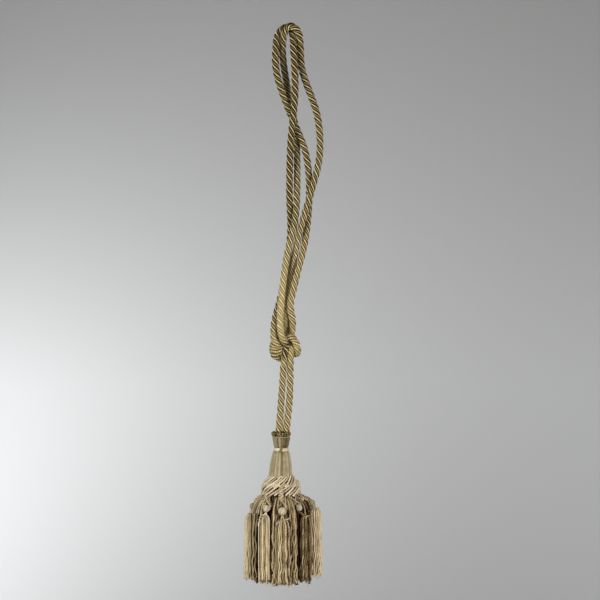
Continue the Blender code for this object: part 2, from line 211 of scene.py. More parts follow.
class Strands:
    """Collects tubes and lofts, and makes one mesh of them.

    Each strand has a UV map along it, and a tone.
    """

    def __init__(self):
        self.points = []
        self.corners = []
        self.sizes = []
        self.uvs = []
        self.tones = []
        self.slots = []
        self.total = 0

    def rings(self, rings, tone=0.5, slot=0, run=None):
        """A closed tube through these rings, an array of ring by side by 3.

        The tone may vary by ring and side. run is each ring's distance along the tube.
        """
        count, sides, _ = rings.shape
        if run is None:
            run = lengths(rings.mean(axis=1))
        index = np.arange(count * sides).reshape(count, sides) + self.total
        ahead = np.roll(index, -1, axis=1)
        quads = np.stack([index[:-1], ahead[:-1], ahead[1:], index[1:]], axis=-1).reshape(-1, 4)
        side_shares = np.arange(sides) / sides
        u0 = np.broadcast_to(side_shares, (count - 1, sides))
        u1 = u0 + 1.0 / sides
        v0 = np.broadcast_to(run[:-1, None], u0.shape)
        v1 = np.broadcast_to(run[1:, None], u0.shape)
        self.points.append(rings.reshape(-1, 3))
        self.corners += [quads.reshape(-1), index[0][::-1], index[-1]]
        self.sizes += [np.full(len(quads), 4), np.full(2, sides)]
        self.uvs.append(np.stack([u0, v0, u1, v0, u1, v1, u0, v1], axis=-1).reshape(-1, 2))
        ends = np.stack([np.tile(side_shares, 2), np.repeat(run[[0, -1]], sides)], axis=1)
        self.uvs.append(ends)
        self.slots.append(np.full(len(quads) + 2, slot))
        self.tones.append(np.broadcast_to(tone, (count, sides)).ravel())
        self.total += count * sides

    def strand(self, path, radius, section, tone=0.5, slot=0, pitch=None, start=0.0):
        """A tube along the path. Its section turns once in each pitch, as the plies of a yarn do."""
        normals, binormals = carried_frames(path)
        run = lengths(path)
        spin = start + (TAU * run / pitch if pitch else 0.0 * run)
        out = np.broadcast_to(np.asarray(radius, float), (len(path),))[:, None] * section[None, :]
        angle = spin[:, None] + TAU * np.arange(len(section))[None, :] / len(section)
        ring = (
            path[:, None, :]
            + (out * np.cos(angle))[:, :, None] * normals[:, None, :]
            + (out * np.sin(angle))[:, :, None] * binormals[:, None, :]
        )
        tone = np.asarray(tone, float)
        self.rings(ring, tone[:, None] if tone.ndim else tone, slot, run)

    def build(self, name, surfaces, nodes):
        points = np.concatenate(self.points)
        corners = np.concatenate(self.corners)
        sizes = np.concatenate(self.sizes)
        mesh = bpy.data.meshes.new(name)
        mesh.vertices.add(len(points))
        mesh.vertices.foreach_set("co", points.astype(np.float32).ravel())
        mesh.loops.add(len(corners))
        mesh.loops.foreach_set("vertex_index", corners.astype(np.int32))
        mesh.polygons.add(len(sizes))
        starts = np.concatenate([[0], np.cumsum(sizes)[:-1]])
        mesh.polygons.foreach_set("loop_start", starts.astype(np.int32))
        mesh.polygons.foreach_set("material_index", np.concatenate(self.slots).astype(np.int32))
        mesh.update(calc_edges=True)
        mesh.validate()
        layer = mesh.uv_layers.new(name="strand")
        layer.data.foreach_set("uv", np.concatenate(self.uvs).astype(np.float32).ravel())
        tone = mesh.attributes.new("tone", "FLOAT", "POINT")
        tone.data.foreach_set("value", np.concatenate(self.tones).astype(np.float32))
        mesh.shade_smooth()
        for surface in surfaces:
            mesh.materials.append(surface)
        obj = add_object(name, mesh)
        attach(obj, "root")
        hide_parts(*nodes)
        return obj


# -------------------- yarn materials

FIBRES_ACROSS = 7.0  # noise cells across each light line
FIBRES_ALONG = 260.0  # noise cells in a metre of strand
FIBRES_APART = 91.0  # how far apart in the noise strands of different tones lie
PATCHES = 140.0  # patches in a metre
MIDDLE_SHARE = 0.42  # where the middle colour lies on the way from dark to light


def yarn_material(
    name, dark, middle, light,
    lines=2, streak_and_shade=0.2, fibre=0.5, blotch=0.5, bump=0.00018, roughness=0.7, coat=0.0,
):
    """Spun yarn: lines along each strand, loose fibres, blotches, and each strand's tone, in places painted
    light and shade.

    lines is how many light lines lie round a strand. Where they follow the plies, as on the rope and on
    two-ply cords and yarns, they are painted light on the plies' crests, and the dark between them is
    painted shade.
    streak_and_shade, fibre and blotch are shares of the way from dark to light, and bump is the relief in
    metres.
    """
    surface = bpy.data.materials.new(name)
    surface.use_nodes = True
    nodes = surface.node_tree.nodes
    links = surface.node_tree.links
    shader = nodes["Principled BSDF"]
    shader.inputs["Roughness"].default_value = roughness
    shader.inputs["Specular IOR Level"].default_value = 0.08
    shader.inputs["Coat Weight"].default_value = coat
    shader.inputs["Coat Roughness"].default_value = 0.18

    def node(kind, **settings):
        made = nodes.new(kind)
        for key, value in settings.items():
            setattr(made, key, value)
        return made

    def math_node(operation, *values, clamp=False):
        made = node("ShaderNodeMath", operation=operation, use_clamp=clamp)
        for socket, value in zip(made.inputs, values):
            if isinstance(value, (int, float)):
                socket.default_value = value
            else:
                links.new(value, socket)
        return made.outputs[0]

    uv = node("ShaderNodeUVMap", uv_map="strand")
    split = node("ShaderNodeSeparateXYZ")
    links.new(uv.outputs["UV"], split.inputs[0])
    u, v = split.outputs["X"], split.outputs["Y"]
    tone = node("ShaderNodeAttribute", attribute_name="tone").outputs["Fac"]
    # Light lines round the strand: where they follow the plies, painted light on the crests and painted
    # shade between.
    wave = math_node("COSINE", math_node("MULTIPLY", u, lines * TAU))

    across = node("ShaderNodeCombineXYZ")
    links.new(math_node("MULTIPLY", u, FIBRES_ACROSS * lines), across.inputs["X"])
    links.new(math_node("MULTIPLY", v, FIBRES_ALONG), across.inputs["Y"])
    links.new(math_node("MULTIPLY", tone, FIBRES_APART), across.inputs["Z"])
    fine = node("ShaderNodeTexNoise")
    fine.inputs["Scale"].default_value = 1.0
    fine.inputs["Detail"].default_value = 3.0
    links.new(across.outputs[0], fine.inputs["Vector"])

    place = node("ShaderNodeTexCoord")
    patch = node("ShaderNodeTexNoise")
    patch.inputs["Scale"].default_value = PATCHES
    patch.inputs["Detail"].default_value = 2.0
    links.new(place.outputs["Object"], patch.inputs["Vector"])

    fibres = math_node("MULTIPLY", math_node("SUBTRACT", fine.outputs["Fac"], 0.5), fibre)
    patches = math_node("MULTIPLY", math_node("SUBTRACT", patch.outputs["Fac"], 0.5), blotch)
    share = math_node("MULTIPLY_ADD", wave, streak_and_shade, math_node("ADD", fibres, patches))
    share = math_node("ADD", share, tone, clamp=True)

    ramp = node("ShaderNodeValToRGB")
    ramp.color_ramp.elements[0].color = (*dark, 1.0)
    ramp.color_ramp.elements[1].color = (*light, 1.0)
    ramp.color_ramp.elements.new(MIDDLE_SHARE).color = (*middle, 1.0)
    links.new(share, ramp.inputs["Fac"])
    links.new(ramp.outputs["Color"], shader.inputs["Base Color"])

    height = math_node("MULTIPLY_ADD", wave, 0.5, fine.outputs["Fac"])
    relief = node("ShaderNodeBump")
    relief.inputs["Strength"].default_value = 0.8
    relief.inputs["Distance"].default_value = bump
    links.new(height, relief.inputs["Height"])
    links.new(relief.outputs[0], shader.inputs["Normal"])
    return surface


# Each material's name, then its dark, middle and light colour.
OLIVE = yarn_material(
    "rope_olive",
    (0.005, 0.0018, 0.0001), (0.152, 0.108, 0.027), (0.510, 0.410, 0.180),
    lines=6, streak_and_shade=0.43, blotch=0.3,
)
CREAM = yarn_material(
    "rope_cream",
    (0.44, 0.31, 0.11), (0.80, 0.64, 0.33), (1.00, 0.93, 0.69),
    coat=0.5,
)
FRINGE = yarn_material(
    "fringe",
    (0.024, 0.007, 0.0005), (0.325, 0.236, 0.115), (0.870, 0.745, 0.495),
    streak_and_shade=0.08, fibre=0.35, blotch=0.3,
)
RUFF = yarn_material(
    "ruff_twist",
    (0.10, 0.06, 0.022), (0.52, 0.42, 0.265), (0.98, 0.90, 0.72),
    streak_and_shade=0.14, bump=0.0001,
)
THREAD = yarn_material(
    "mould_thread",
    (0.085, 0.062, 0.022), (0.290, 0.240, 0.140), (0.640, 0.560, 0.385),
    streak_and_shade=0.0, roughness=0.5,
)
RIM = yarn_material(
    "rim_yarn",
    (0.032, 0.019, 0.004), (0.22, 0.165, 0.068), (0.56, 0.46, 0.26),
    streak_and_shade=0.3, fibre=0.8,
)
SATIN = yarn_material(
    "satin_thread",
    (0.26, 0.21, 0.12), (0.48, 0.42, 0.28), (0.90, 0.83, 0.62),
    streak_and_shade=0.1, roughness=0.2, coat=1.0,
)
WOUND = yarn_material(
    "wound_thread",
    (0.10, 0.07, 0.03), (0.40, 0.34, 0.21), (0.85, 0.78, 0.60),
    lines=15, streak_and_shade=0.3, roughness=0.5,
)
HANGER = yarn_material(
    "hanger_twist",
    (0.04, 0.018, 0.002), (0.33, 0.240, 0.118), (0.90, 0.77, 0.53),
    streak_and_shade=0.34,
)
# Near black: painted shade for the insides of the rim and the fringes, and under the ruff's cords.
PAINTED_SHADE = yarn_material(
    "painted_shade_inside",
    (0.006, 0.002, 0.0001), (0.020, 0.008, 0.001), (0.06, 0.026, 0.008),
    lines=60,
)


# -------------------- the rope

ROPE_DIAMETER = 0.0082
ROPE_LAY = 0.0245  # length of one turn of the plies
FILLER_LAY = 0.0045  # and of one turn of the thin cords between them
KNOT_MIDDLE = -0.3730
KNOT_REACH = 0.0260
ABOVE_KNOT = 0.035  # from the knot's middle up to the middle of the loosened stretch over it
ABOVE_REACH = 0.05
RIM_REACH = 0.05  # how far up from the cap the rope is fuller
CROWN_FOOT = -0.02  # above this height the rope is at its fullest in the crowns
CROWN_FADE = 0.12

ROUTE = [  # the rope's middle line, from the cap through the knot and both loops back to the cap
    # lower right
    (-0.0045, -0.0015, -0.4769), (-0.0005, -0.0015, -0.4370),
    # knot right
    (0.0005, -0.0035, -0.3950), (0.0010, -0.0030, -0.3830), (0.0010, 0.0020, -0.3720),
    (0.0020, 0.0025, -0.3600), (0.0030, -0.0015, -0.3460),
    # first loop up
    (0.0005, -0.0045, -0.3280), (0.0055, -0.0050, -0.3020), (0.0185, 0.0010, -0.2470),
    (0.0230, 0.0045, -0.1880), (0.0185, 0.0015, -0.1450), (-0.0020, 0.0020, -0.0930),
    (-0.0160, -0.0050, -0.0500),
    # first crown
    (-0.0165, -0.0035, -0.0190), (-0.0140, 0.0035, -0.0040), (-0.0065, 0.0055, 0.0045),
    (0.0010, 0.0050, 0.0015),
    # first loop down
    (0.0045, -0.0050, -0.0270), (0.0060, -0.0055, -0.0750), (0.0005, -0.0050, -0.1400),
    (-0.0005, 0.0000, -0.2000), (0.0005, 0.0085, -0.2400), (-0.0100, 0.0085, -0.3120),
    # knot wrap
    (-0.0175, 0.0000, -0.3430), (-0.0190, -0.0050, -0.3560), (-0.0185, -0.0075, -0.3660),
    (-0.0150, -0.0070, -0.3725), (-0.0105, -0.0010, -0.3760), (-0.0055, 0.0050, -0.3775),
    (-0.0005, 0.0075, -0.3800), (0.0035, 0.0070, -0.3830), (0.0075, 0.0035, -0.3850),
    (0.0090, -0.0015, -0.3815), (0.0080, -0.0045, -0.3740), (0.0045, -0.0065, -0.3675),
    (-0.0010, -0.0060, -0.3645), (-0.0065, -0.0030, -0.3640), (-0.0120, 0.0000, -0.3655),
    (-0.0165, 0.0015, -0.3685), (-0.0195, 0.0005, -0.3725), (-0.0200, -0.0025, -0.3770),
    (-0.0175, -0.0050, -0.3805), (-0.0130, -0.0035, -0.3825), (-0.0095, 0.0025, -0.3830),
    (-0.0060, 0.0090, -0.3825), (-0.0025, 0.0140, -0.3810), (0.0000, 0.0160, -0.3775),
    (0.0000, 0.0155, -0.3730), (-0.0040, 0.0140, -0.3695), (-0.0100, 0.0125, -0.3685),
    (-0.0160, 0.0105, -0.3720), (-0.0200, 0.0075, -0.3775), (-0.0200, 0.0035, -0.3840),
    (-0.0165, 0.0005, -0.3885), (-0.0115, 0.0020, -0.3900), (-0.0070, 0.0085, -0.3895),
    (-0.0030, 0.0155, -0.3885), (0.0000, 0.0215, -0.3845), (0.0010, 0.0240, -0.3770),
    (-0.0005, 0.0215, -0.3680), (-0.0030, 0.0130, -0.3605), (-0.0045, 0.0050, -0.3510),
    # second loop up
    (-0.0050, 0.0015, -0.3330), (0.0025, 0.0030, -0.2840), (0.0130, -0.0045, -0.2350),
    (0.0250, -0.0045, -0.1930), (0.0350, 0.0000, -0.1500), (0.0330, 0.0000, -0.1040),
    (0.0140, 0.0040, -0.0440),
    # second crown
    (0.0120, 0.0025, -0.0150), (0.0100, -0.0025, -0.0035), (0.0040, -0.0055, 0.0030),
    (-0.0030, -0.0050, 0.0030), (-0.0070, -0.0030, -0.0045),
    # second loop down
    (-0.0090, 0.0045, -0.0250), (-0.0040, 0.0085, -0.0620), (0.0060, 0.0110, -0.1120),
    (0.0085, 0.0035, -0.1700), (0.0060, -0.0030, -0.2260), (-0.0035, -0.0045, -0.2690),
    (-0.0100, -0.0050, -0.3200),
    # knot tuck
    (-0.0115, -0.0075, -0.3470), (-0.0105, -0.0120, -0.3590), (-0.0085, -0.0130, -0.3660),
    (-0.0055, -0.0105, -0.3705), (-0.0045, -0.0050, -0.3735), (-0.0045, -0.0025, -0.3790),
    (-0.0065, -0.0040, -0.3870), (-0.0075, -0.0035, -0.3970),
    # lower left
    (-0.0090, -0.0020, -0.4220), (-0.0130, -0.0015, -0.4769),
]

# Painted light and shade along the rope: darker up the loops, most of all the first loop and its crown,
# lighter on stretches that lie in the shade of other strands, and dark where the rope tucks into the knot.
ROPE_TONES = [  # share of the rope's length, tone
    (0.00, 0.56), (0.04, 0.50), (0.10, 0.52), (0.14, 0.26), (0.32, 0.11),
    (0.37, 0.14), (0.41, 0.18), (0.45, 0.42), (0.543, 0.30), (0.556, 0.85),
    (0.588, 0.85), (0.608, 0.56), (0.64, 0.30), (0.70, 0.26), (0.775, 0.26),
    (0.79, 0.50), (0.82, 0.32), (0.87, 0.34), (0.91, 0.80), (0.935, 0.88),
    (0.943, 0.30), (0.947, -0.35), (0.952, -0.35), (0.958, 0.50), (1.00, 0.56),
]


def fading(distance, reach):
    """1 at no distance, falling evenly to 0 at this reach."""
    return np.clip(1.0 - distance / reach, 0.0, 1.0)


def make_rope():
    """Three full plies, with a thin cream cord in each groove between them."""
    centre = smooth(ROUTE, 24, 1.5 * MM)
    run = lengths(centre)
    height = centre[:, 2]
    in_knot = fading(np.abs(height - KNOT_MIDDLE), KNOT_REACH)
    over_knot = fading(np.abs(height - KNOT_MIDDLE - ABOVE_KNOT), ABOVE_REACH)
    at_rim = fading(height - height[0], RIM_REACH)
    at_crown = fading(CROWN_FOOT - height, CROWN_FADE)
    size = 1.00 + 0.07 * in_knot + 0.07 * over_knot + 0.06 * at_rim + 0.06 * at_crown
    # Painted light makes the rope lighter in and over the knot.
    tone = np.interp(run / run[-1], *np.transpose(ROPE_TONES)) + 0.40 * in_knot + 0.10 * over_knot
    normals, binormals = carried_frames(centre)
    plies = 3
    strands = Strands()
    strands.strand(centre, ROPE_DIAMETER / 2 * size, fluted_section(36, plies, 0.26), tone, pitch=-ROPE_LAY)
    filler = (1.20 + 0.6 * np.minimum(tone, 0.5)) * MM
    filler_tone = 0.5 + 0.8 * tone
    section = plied_section(8, 2, 0.2)
    for k in range(plies):
        turn = -TAU * run / ROPE_LAY + TAU * (k + 0.5) / plies
        path = around(centre, normals, binormals, (ROPE_DIAMETER / 2 - filler) * size, turn)
        strands.strand(path, filler * size, section, filler_tone, slot=1, pitch=FILLER_LAY)
    rope = strands.build("rope_plies", [OLIVE, CREAM], ["rope"])


# -------------------- the mould

def axis_of(node):
    low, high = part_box(node)
    return (low.x + high.x) / 2, (low.y + high.y) / 2


AXIS = axis_of("neck")


def about_axis(turn, radius, height):
    """Points about the tassel's axis. The turn is counted from the front, towards +X."""
    x = AXIS[0] + radius * np.sin(turn)
    y = AXIS[1] - radius * np.cos(turn)
    return np.stack(np.broadcast_arrays(x, y, height), axis=-1)


def threads_over(name, node, profile, ribs, relief, tones, creases, pleat_shade=0.0):
    """A turned skin of upright threads. The profile is (radius, shift to +X, height) from the top down.

    tones is a list of (degrees from the front towards +X, tone), and creases of (degrees, width, depth in
    millimetres, darkening), the darkening being painted shade in the crease. pleat_shade is how much darker
    the pleats are at the top, painted shade where the threads draw together.
    """
    per_rib = 4
    line = smooth(profile, 8, 0.7 * MM)
    run = lengths(line)
    turn = -TAU * np.arange(ribs * per_rib) / (ribs * per_rib)
    front = (np.degrees(turn) + 180.0) % 360.0 - 180.0
    own = np.repeat(RNG.normal(0.0, 1.0, ribs), per_rib)
    rib = relief * (np.abs(np.sin(turn * ribs / 2)) - 1.0 + 0.3 * own)
    folds = 0.25 * MM * sum(np.sin(turn * k + RNG.uniform(0, TAU)) for k in (7, 11, 17)) / 3
    tone = np.interp(front, *np.transpose(tones)) + 0.13 * own
    depth = rib + folds
    # Each crease is sunk, and darkened with painted shade.
    for middle, width, deep, dark in creases:
        near = np.exp(-(((front - middle) / width) ** 2))
        depth = depth - deep * MM * near
        tone = tone - dark * near
    # Painted shade darkens the pleats at the top, by a random amount for each.
    top = np.exp(-run / (2.6 * MM))[:, None]
    pleats = np.repeat(RNG.uniform(0.0, 1.0, ribs // 2 + 1), 2 * per_rib)[: ribs * per_rib]
    shade = tone[None, :] - pleat_shade * top * pleats[None, :]
    rings = np.array([about_axis(turn, r + depth, z) + [shift, 0.0, 0.0] for r, shift, z in line])
    strands = Strands()
    strands.rings(rings, shade, run=run)
    strands.build(name, [THREAD], [node])


def ring_path(radius, height, points=160, wobble=0.0):
    turn = TAU * np.arange(points + 1) / points
    return about_axis(-turn, radius, height + wobble * np.sin(3 * turn))


def make_rim():
    """A ring closely wound with dark yarn, uneven as gathered loops are."""
    low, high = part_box("cap_rim")
    reach = (high.x - low.x) / 2
    half = (high.z - low.z) / 2
    thread = 0.8 * MM
    path = ring_path(reach - half, (high.z + low.z) / 2, points=900)
    normals, binormals = carried_frames(path)
    share = lengths(path) / lengths(path)[-1]
    strands = Strands()
    for k, turns in enumerate((27, -19)):
        uneven = 0.5 * MM * np.sin(TAU * share * 5 + 2.6 * k)
        uneven = uneven + 0.45 * MM * np.sin(TAU * share * 13 + 1.7 * k)
        coil = around(path, normals, binormals, half - thread - 0.1 * MM + uneven, TAU * turns * share)
        tone = 0.40 + 0.24 * np.sin(TAU * share * 8 + 2.1 * k) + 0.20 * np.sin(TAU * share * 21)
        strands.strand(coil, thread, plied_section(8, 2, 0.3), tone, pitch=0.0042)
    # Inside the coils, a near-black core of painted shade.
    circle = TAU * np.arange(48) / 48
    core = [
        (reach - 2.2 * MM, high.z - 1.3 * MM),
        (reach - 1.2 * MM, high.z - 2.4 * MM),
        (reach - 1.4 * MM, low.z - 0.4 * MM),
    ]
    strands.rings(np.array([about_axis(-circle, r, z) for r, z in core]), 0.3, slot=1)
    strands.build("rim_loops", [RIM, PAINTED_SHADE], ["cap_rim"])


def make_cap():
    low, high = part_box("cap")
    reach = (high.x - low.x) / 2 - 0.7 * MM
    foot = 0.0082  # radius where the cap meets the band
    profile = [
        (reach - 2.0 * MM, 0.0, high.z + 0.3 * MM),
        (reach - 0.5 * MM, 0.0, high.z - 0.3 * MM),
        (reach - 0.1 * MM, 0.0, high.z - 2.6 * MM),
        (reach - 0.9 * MM, 0.0, high.z - 6.5 * MM),
        (foot + 0.3 * MM, 0.0, low.z + 0.9 * MM),
        (foot - 0.6 * MM, 0.0, low.z - 0.1 * MM),
    ]
    # Tone by side, darker just right of the front: painted light and shade.
    tones = [
        (-180, 0.40), (-90, 0.42), (-30, 0.46), (0, 0.40),
        (25, 0.18), (50, 0.20), (90, 0.34), (180, 0.40),
    ]
    creases = [
        (-24, 4, 0.7, 0.40), (3, 3, 0.5, 0.25), (16, 5, 0.9, 0.35), (40, 4, 0.7, 0.30),
        (-55, 4, 0.4, 0.15), (100, 5, 0.6, 0.3), (160, 5, 0.6, 0.3), (-130, 5, 0.6, 0.3),
    ]
    threads_over("cap_threads", "cap", profile, 46, 0.35 * MM, tones, creases)
    strands = Strands()
    edge = ring_path(reach - 0.7 * MM, high.z - 0.15 * MM, wobble=0.2 * MM)
    strands.strand(edge, 0.55 * MM, plied_section(8, 2, 0.3), 0.62, pitch=0.004)
    strands.build("cap_edge_cord", [WOUND], ["cap"])


def make_band():
    """Satin thread wound four times round, with a crossing of plain thread at the front."""
    low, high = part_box("neck_band")
    reach = (high.x - low.x) / 2
    turns = 4
    middle_turn = (turns - 1) / 2
    thick = (high.z - low.z) / turns / 2 + 0.08 * MM
    strands = Strands()
    for k in range(turns):
        bow = 0.45 * MM * (1 - ((k - middle_turn) / middle_turn) ** 2)
        level = high.z - (high.z - low.z) * (k + 0.5) / turns
        path = ring_path(reach - thick - 0.3 * MM + bow, level, wobble=0.15 * MM)
        strands.strand(path, thick * 1.12, round_section(10), 0.72 + 0.1 * (k % 2))
    share = np.linspace(0, 1, 30)
    for hand, middle in ((1, -6), (-1, 0), (1, 6)):
        turn = np.radians(middle + hand * 17 * (share - 0.5))
        height = low.z - 1.0 * MM + (high.z - low.z + 2.2 * MM) * share
        path = about_axis(turn, reach - 0.1 * MM + 0.3 * MM * np.sin(math.pi * share), height)
        strands.strand(path, 0.75 * MM, plied_section(8, 2, 0.3), 0.34, slot=1, pitch=0.004)
    strands.build("band_winding", [SATIN, THREAD], ["neck_band"])


def make_neck():
    ruff_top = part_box("ruff")[1].z
    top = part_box("neck_band")[0].z + 0.2 * MM
    profile = [
        (0.0078, 0.0, top + 0.5 * MM),
        (0.0090, 0.0, top - 0.3 * MM),
        (0.0098, 0.0, top - 2.4 * MM),
        (0.0108, 0.0, top - 5.6 * MM),
        (0.0125, -0.3 * MM, top - 14.5 * MM),
        (0.0137, -0.7 * MM, top - 25.0 * MM),
        (0.0140, -0.8 * MM, ruff_top),
        (0.0134, -0.8 * MM, ruff_top - 2.0 * MM),
    ]
    # Tone by side, lighter towards the right, with a dip just right of the front: painted light and shade.
    tones = [
        (-180, 0.5), (-95, 0.56), (-50, 0.60), (-8, 0.56),
        (10, 0.44), (30, 0.62), (95, 0.74), (180, 0.5),
    ]
    creases = [
        (9, 6, 1.0, 0.22), (-14, 3, 0.3, 0.12), (-36, 4, 0.4, 0.12), (-62, 4, 0.4, 0.1),
        (34, 5, 0.4, 0.12), (56, 4, 0.4, 0.1), (100, 5, 0.6, 0.3), (140, 5, 0.6, 0.3),
        (-100, 5, 0.6, 0.3), (-150, 5, 0.6, 0.3), (178, 5, 0.5, 0.2),
    ]
    threads_over("neck_threads", "neck", profile, 84, 0.25 * MM, tones, creases, pleat_shade=0.6)


def make_ruff():
    """Twisted cords in two tiers that slant up to the right and curl over at the top, on a lining of
    painted shade.
    """
    low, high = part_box("ruff")
    height = high.z - low.z
    cords = 24
    lean = math.radians(92)
    profile = [
        (0.0130, 0.0, high.z + 0.6 * MM),
        (0.0150, 0.0, high.z - 0.4 * MM),
        (0.0181, 0.0, high.z - 0.20 * height),
        (0.0212, 0.0, high.z - 0.42 * height),
        (0.0228, 0.0, high.z - 0.62 * height),
        (0.0223, 0.0, high.z - 0.80 * height),
        (0.0216, 0.0, low.z - 0.2 * MM),
    ]
    line = smooth(profile, 10)
    share = lengths(line) / lengths(line)[-1]
    section = plied_section(10, 2, 0.24)
    strands = Strands()
    for tier, (begin, end) in enumerate(((0.03, 0.60), (0.46, 1.0))):
        for k in range(cords):
            first = begin + RNG.uniform(-0.05, 0.06)
            last = end + RNG.uniform(-0.08, 0.0)
            at = np.linspace(first, last, 40)
            reach = np.interp(at, share, line[:, 0])
            level = np.interp(at, share, line[:, 2])
            thick = np.minimum(math.pi * reach / cords * 0.53, 1.32 * MM) * RNG.uniform(0.88, 1.06)
            foot_turn = TAU * (k + 0.5 * tier + RNG.uniform(-0.16, 0.16)) / cords
            turn = foot_turn + lean * (1 - at) + 0.03 * np.sin(9 * at + k)
            flare = RNG.uniform(0.3, 2.2) * MM * tier * np.clip((at - 0.8) / 0.2, 0.0, 1.0) ** 1.5
            out = 0.9 * MM * tier - thick + flare
            path = about_axis(turn, reach + out, level)
            top = about_axis(turn[0] + 0.07, reach[0] - 1.6 * thick[0], level[0] - 1.2 * MM)
            crown = about_axis(turn[0] + 0.08, reach[0] + out[0], level[0] + 0.7 * MM)
            route = np.vstack([top, crown, path])
            cord = smooth(route[[0, 1, 2, *range(5, len(route), 4)]], 8)
            along = np.linspace(0, 1, len(cord))
            radius = np.interp(along, [0, 0.12, 1], [0.75 * thick[0], thick[3], thick[-1]])
            tone = 0.60 + 0.12 * (-1) ** k + RNG.uniform(-0.12, 0.12) - 0.05 * tier
            strands.strand(cord, radius, section, tone, pitch=-0.0056, start=RNG.uniform(0, TAU))
    # Under the cords, a near-black lining of painted shade.
    lining = np.array([about_axis(-TAU * np.arange(72) / 72, r - 2.3 * MM, z) for r, _, z in line])
    strands.rings(lining, 0.2, slot=1)
    strands.build("ruff_cords", [RUFF, PAINTED_SHADE], ["ruff"])


# -------------------- the skirt and the small tassels

YARN = 0.00108  # radius of one yarn of the fringe
YARN_PITCH = 0.0085
YARN_TAPER = np.array([0.45, 0.65, 0.95, 1.0, 1.0, 1.0, 1.0, 1.0, 1.0, 0.85])  # from head to foot
PALE_CORE = 0.65  # an inside fuller than this shows, and is of the fringe's own yarn
WAVES = ((0.031, 0.9), (0.0165, 0.65), (0.0095, 0.2))  # along a yarn: length, share of the sway
SHADE_REACH = 0.007  # down a yarn
UNDER_RUFF = 0.0185  # how far from the axis yarns and cords come out from under the ruff

# A row for each small tassel. tone is the fringe's, partly its own colour and partly painted shade, darkest
# on small_tassel_2, which hangs in shade. spread is how much it varies, and slope how it changes towards
# +X, which is painted light and shade by side. slim is a share of the node's girth, dome how square the
# head is and core how full the inside. sway, short (how far it ends above its node) and the hangers' apexes
# are in millimetres.
# ball is a tone.
FRINGE_COLUMNS = (
    "tone", "spread", "slope", "slim", "sway", "uneven", "dome", "core", "short", "apex", "apex_2", "ball",
)
FRINGE_ROWS = [
    (0.52, 0.22, 0.00, 0.94, 0.80, 0.10, 0.3, 0.60, 1.2, -2.6, 3.2, 0.52),
    (0.20, 0.14, 0.00, 0.84, 0.65, 0.16, 0.4, 0.60, 0.5, -9.0, 1.5, 0.74),
    (0.80, 0.15, 0.06, 1.00, 0.70, 0.08, 0.9, 0.84, 0.5, -4.0, 2.4, 0.34),
    (0.52, 0.18, 0.00, 1.00, 0.60, 0.12, 0.6, 0.60, 0.5, -2.0, 3.0, 0.46),
    (0.48, 0.18, 0.00, 1.00, 0.60, 0.12, 0.6, 0.60, 0.5, 2.0, -3.0, 0.46),
    (0.54, 0.18, 0.00, 1.00, 0.60, 0.12, 0.6, 0.60, 0.5, -3.0, 2.0, 0.46),
    (0.46, 0.18, 0.00, 1.00, 0.60, 0.12, 0.6, 0.60, 0.5, 3.0, -2.0, 0.46),
    (0.70, 0.14, -0.30, 1.00, 0.55, 0.10, 0.7, 0.76, -1.2, 2.5, -2.5, 0.34),
    (0.69, 0.13, 0.04, 0.84, 0.28, 0.06, 1.0, 0.66, 2.6, -8.0, -3.5, 0.66),
]
FRINGES = [dict(zip(FRINGE_COLUMNS, row)) for row in FRINGE_ROWS]
NUMBERS = range(1, len(FRINGES) + 1)
# Painted light and shade by side: lighter on the left, and dark dips either side of the front where the
# small tassels shade the skirt.
SKIRT_TONES = [  # degrees from the front towards +X, tone
    (-180, 0.42), (-100, 0.62), (-75, 0.50), (-62, 0.34), (-50, 0.14), (-40, 0.06),
    (-24, 0.36), (-5, 0.54), (2, 0.42), (13, 0.54), (26, 0.50), (29, 0.00),
    (40, 0.00), (45, 0.16), (60, 0.20), (80, 0.40), (110, 0.50), (180, 0.42),
]
FORWARD_YARNS = [  # degrees from the front towards +X, tone, millimetres out of the skirt's front
    (-17.8, 0.46, 3.4), (-13.5, 0.70, 3.2), (-10.0, 0.68, 3.6), (16.5, 0.40, 2.2),
    (19.0, 0.62, 3.4), (21.5, 0.34, 2.6), (24.5, 0.58, 3.0), (27.0, 0.50, 1.8),
]


def levels_of(node):
    """The heights of a lofted node's rings, lowest first, with the middle and the radius of each ring."""
    points = np.array([vertex.co for vertex in NODES[node].data.vertices])
    heights = np.unique(np.round(points[:, 2], 5))
    found = []
    for z in heights:
        ring = points[np.abs(points[:, 2] - z) < 2e-5]
        middle = ring.mean(axis=0)
        found.append((z, middle, np.linalg.norm(ring - middle, axis=1).max()))
    return found


def swayed(path, amount, phases):
    """The line with slow waves across it, larger towards its end. phases is two rows of three."""
    run = lengths(path)
    share = run / run[-1]
    force = amount * (0.25 + share**1.5) * np.minimum(1.0, 4 * share)
    out = path.copy()
    for axis, row in enumerate(phases):
        for (period, part), phase in zip(WAVES, row):
            out[:, axis] += force * part * np.sin(TAU * run / period + phase)
    return out


def lock_phases(count, size):
    """Wave phases for each of this many yarns, nearly the same within a lock of this many."""
    locks = RNG.uniform(0, TAU, (count // size + 1, 2, 3))
    return np.repeat(locks, size, axis=0)[:count] + RNG.normal(0, 0.5, (count, 2, 3))


def twisted(strands, path, radius, groove, tone, pitch=0.0052):
    """A two-ply cord, its plies starting at any turn."""
    strands.strand(path, radius, plied_section(8, 2, groove), tone, 0, pitch, RNG.uniform(0, TAU))


def outward(point):
    """Level unit vectors at this point, away from the tassel's axis and sideways."""
    out = unit(np.array([point[0] - AXIS[0], point[1] - AXIS[1], 0.0]))
    return out, np.array([-out[1], out[0], 0.0])


